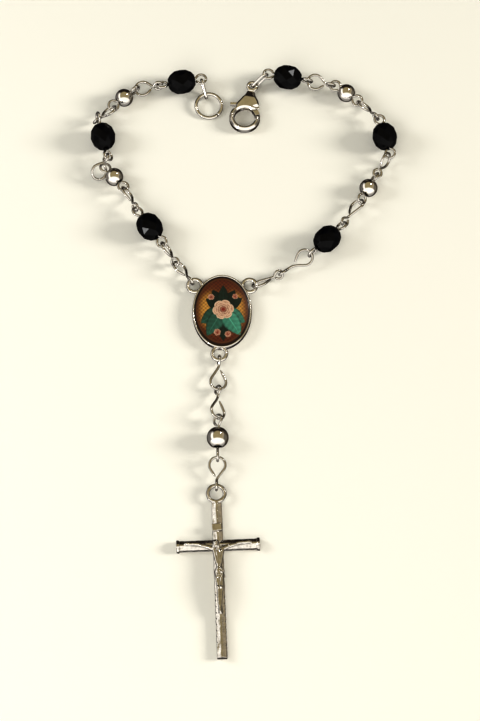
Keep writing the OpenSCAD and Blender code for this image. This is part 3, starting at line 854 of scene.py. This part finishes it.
class BRACELET_OT_crucifix(bpy.types.Operator):
    """The cast crucifix: bark-like bars, ring, bare plaque and figure"""

    bl_idname = "bracelet.crucifix"
    bl_label = "Crucifix"

    def execute(self, context):
        finish = context.scene.bracelet_finish
        bark = context.scene.bracelet_castings.bark
        # A cast piece is a little darker than the beads
        silver = [0.9 * c for c in finish.silver]
        material = cast_silver("crucifix_silver", silver, finish.tarnish)
        forms = bmesh.new()
        for x, y, z, rx, ry, rz, turn in FIGURE_MIDDLE:
            ellipsoid(forms, (x, y, z), (rx, ry, rz), turn)
        for middle, rows in ((HEAD_MIDDLE, HEAD_SIDES), (0, BODY_SIDES)):
            for x, y, z, rx, ry, rz, turn in rows:
                for side in (-1, 1):
                    ellipsoid(forms, (side * x + middle, y, z), (rx, ry, rz), side * turn)
        place = Matrix.Translation(CROSS_PLACE) @ Matrix.Rotation(CROSS_TURN, 4, "Z")
        bmesh.ops.transform(forms, matrix=place, verts=forms.verts)
        mesh = bpy.data.meshes.new("forms")
        forms.to_mesh(mesh)
        forms.free()
        work = merged_copy("crucifix")
        work.from_mesh(mesh)
        bpy.data.meshes.remove(mesh)
        work = cast(work, voxel=0.1 * MM, steps=3)
        work.normal_update()
        for vert in work.verts:
            # The bark fades out at the flat back and at the height of the figure
            shown = step(0.1 * MM, 0.4 * MM, vert.co.z) * (1 - step(1.85 * MM, 2.1 * MM, vert.co.z))
            grain = noise.noise(vert.co * BARK_RIBS) + 0.7 * noise.noise(vert.co * BARK_GRAIN)
            vert.co += vert.normal * bark * grain * shown
            vert.co.z = max(vert.co.z, 0)
        add_piece("cast_crucifix", work, "crucifix", material)
        return {"FINISHED"}


# The soft lamps, which don't show in reflections
# Each one: its name in the stage's settings, width and place in millimetres, colour
SOFT_LAMPS = [
    ("key", 460, (1290, 45, 570), (1, 0.985, 0.95)),
    ("fill", 200, (-420, 60, 260), (0.95, 0.97, 1)),
    ("cover", 400, (-120, -300, 330), (1, 0.99, 0.97)),
]
# Places of the small lamps that show only as glints, in millimetres
SPARKS = [(250, 250, 354), (-352, -318, 163)]
SPARK_WIDTH = 60
LAMP_TARGET = Vector((5, 0, 0)) * MM

# Colours of the room in reflections, and its even light on all else
ROOM_DARK = (0.03, 0.022, 0.017)
ROOM_CEILING = (0.42, 0.35, 0.2)
ROOM_RIGHT = (0.5, 0.43, 0.31)
ROOM_LOW_RIGHT = (0.22, 0.2, 0.16)
ROOM_WINDOW = (1.35, 1.3, 1.2)
ROOM_EVEN = (0.4, 0.4, 0.37)


class BRACELET_OT_stage(bpy.types.Operator):
    """Pale floor, soft lights, room and camera"""

    bl_idname = "bracelet.stage"
    bl_label = "Stage"

    def execute(self, context):
        stage = context.scene.bracelet_stage
        work = bmesh.new()
        bmesh.ops.create_grid(work, x_segments=1, y_segments=1, size=1.5)
        bmesh.ops.translate(work, vec=(0, 0, -0.02 * MM), verts=work.verts)
        mesh = bpy.data.meshes.new("floor")
        work.to_mesh(mesh)
        work.free()
        material, _, shader, _ = start_material("pale_floor")
        shader.inputs["Roughness"].default_value = 0.6
        shader.inputs["Base Color"].default_value = (*stage.floor, 1)
        mesh.materials.append(material)
        floor = bpy.data.objects.new("floor", mesh)
        context.scene.collection.objects.link(floor)
        floor.visible_glossy = False
        for name, width, place, colour in SOFT_LAMPS:
            lamp = self.add_light(context, name, getattr(stage, name), width, place, colour)
            lamp.visible_glossy = False
        for place in SPARKS:
            lamp = self.add_light(context, "spark", stage.spark, SPARK_WIDTH, place, (1, 1, 1))
            lamp.visible_diffuse = False
        self.add_room(context, stage.sky)
        self.add_camera(context)
        context.scene.view_settings.view_transform = "Standard"
        context.scene.view_settings.gamma = 0.75
        return {"FINISHED"}

    def add_light(self, context, name, power, width, place, colour):
        """A round lamp that points at the bracelet; width and place are in millimetres."""
        data = bpy.data.lights.new(name, "AREA")
        data.energy = power
        data.shape = "DISK"
        data.size = width * MM
        data.color = colour
        lamp = bpy.data.objects.new(name, data)
        lamp.location = Vector(place) * MM
        lamp.rotation_euler = (LAMP_TARGET - lamp.location).to_track_quat("-Z", "Y").to_euler()
        context.scene.collection.objects.link(lamp)
        return lamp

    def add_room(self, context, sky):
        """A room that only reflections see, with a beige ceiling and bright windows, and an even light."""
        world = bpy.data.worlds.new("room")
        world.use_nodes = True
        tree = world.node_tree
        background = tree.nodes["Background"]
        background.inputs["Strength"].default_value = sky
        place = tree.nodes.new("ShaderNodeTexCoord")
        parts = tree.nodes.new("ShaderNodeSeparateXYZ")
        tree.links.new(place.outputs["Generated"], parts.inputs["Vector"])
        across, away, high = (parts.outputs[axis] for axis in "XYZ")
        ceiling = add_range(tree, high, 0.5, 0.66, 0, 1)
        colour = add_mix(tree, ceiling, ROOM_DARK, ROOM_CEILING)
        above = add_range(tree, high, -0.45, 0.0, 0.3, 1)
        low = add_range(tree, high, -0.85, -0.4, 0, 1)
        band = add_product(
            tree, add_range(tree, high, 0.15, 0.35, 0.15, 1), add_range(tree, high, 0.58, 0.7, 1, 0),
        )
        # Each side: where it starts, the heights that it takes up, its colour
        sides = [
            (add_range(tree, across, 0.5, 0.68, 0, 1), band, ROOM_RIGHT),
            (add_range(tree, across, 0.85, 0.95, 0, 1), low, ROOM_LOW_RIGHT),
            (add_range(tree, across, -0.56, -0.78, 0, 1), band, ROOM_WINDOW),
            (add_range(tree, away, -0.3, -0.48, 0, 1), above, ROOM_WINDOW),
        ]
        for side, limit, light in sides:
            colour = add_mix(tree, add_product(tree, side, limit), colour, light)
        path = tree.nodes.new("ShaderNodeLightPath")
        colour = add_mix(tree, path.outputs["Is Glossy Ray"], ROOM_EVEN, colour)
        tree.links.new(colour, background.inputs["Color"])
        context.scene.world = world

    def add_camera(self, context):
        """The camera, which looks down at the photograph's angle."""
        elevation = math.radians(66)
        distance = 600 * MM
        look_at = Vector((4.255, -11.96, 0)) * MM
        data = bpy.data.cameras.new("camera")
        data.sensor_fit = "VERTICAL"
        data.sensor_height = 36
        data.lens = 127.3
        data.clip_start = 0.01
        camera = bpy.data.objects.new("camera", data)
        offset = Vector((0, -math.cos(elevation), math.sin(elevation))) * distance
        camera.location = look_at + offset
        camera.rotation_euler = (-offset).to_track_quat("-Z", "Y").to_euler()
        context.scene.collection.objects.link(camera)
        context.scene.camera = camera


class BRACELET_PT_sidebar(bpy.types.Panel):
    """Sizes, colours and pieces of the bracelet"""

    bl_idname = "BRACELET_PT_sidebar"
    bl_label = "Rosary Bracelet"
    bl_space_type = "VIEW_3D"
    bl_region_type = "UI"
    bl_category = "Bracelet"

    def draw(self, context):
        for name, group in GROUPS.items():
            box = self.layout.box()
            for key in group.__annotations__:
                box.prop(getattr(context.scene, name), key)
        for operator in OPERATORS:
            self.layout.operator(operator.bl_idname)


GROUPS = {
    "bracelet_chain": BraceletChain,
    "bracelet_beads": BraceletBeads,
    "bracelet_medal": BraceletMedal,
    "bracelet_castings": BraceletCastings,
    "bracelet_finish": BraceletFinish,
    "bracelet_stage": BraceletStage,
}
OPERATORS = [
    BRACELET_OT_wire,
    BRACELET_OT_small_rings,
    BRACELET_OT_silver_beads,
    BRACELET_OT_black_beads,
    BRACELET_OT_medal,
    BRACELET_OT_picture,
    BRACELET_OT_clasp,
    BRACELET_OT_crucifix,
    BRACELET_OT_stage,
]


def register():
    """Registers the settings, the operators and the panel."""
    for group in GROUPS.values():
        bpy.utils.register_class(group)
    for name, group in GROUPS.items():
        setattr(bpy.types.Scene, name, PointerProperty(type=group))
    for operator in OPERATORS:
        bpy.utils.register_class(operator)
    bpy.utils.register_class(BRACELET_PT_sidebar)


def unregister():
    """Takes them out again in the opposite order."""
    bpy.utils.unregister_class(BRACELET_PT_sidebar)
    for operator in reversed(OPERATORS):
        bpy.utils.unregister_class(operator)
    for name in GROUPS:
        delattr(bpy.types.Scene, name)
    for group in reversed(list(GROUPS.values())):
        bpy.utils.unregister_class(group)


def main():
    register()
    bpy.ops.bracelet.wire()
    bpy.ops.bracelet.small_rings()
    bpy.ops.bracelet.silver_beads()
    bpy.ops.bracelet.black_beads()
    bpy.ops.bracelet.medal()
    bpy.ops.bracelet.picture()
    bpy.ops.bracelet.clasp()
    bpy.ops.bracelet.crucifix()
    bpy.ops.bracelet.stage()


if __name__ == "__main__":
    main()
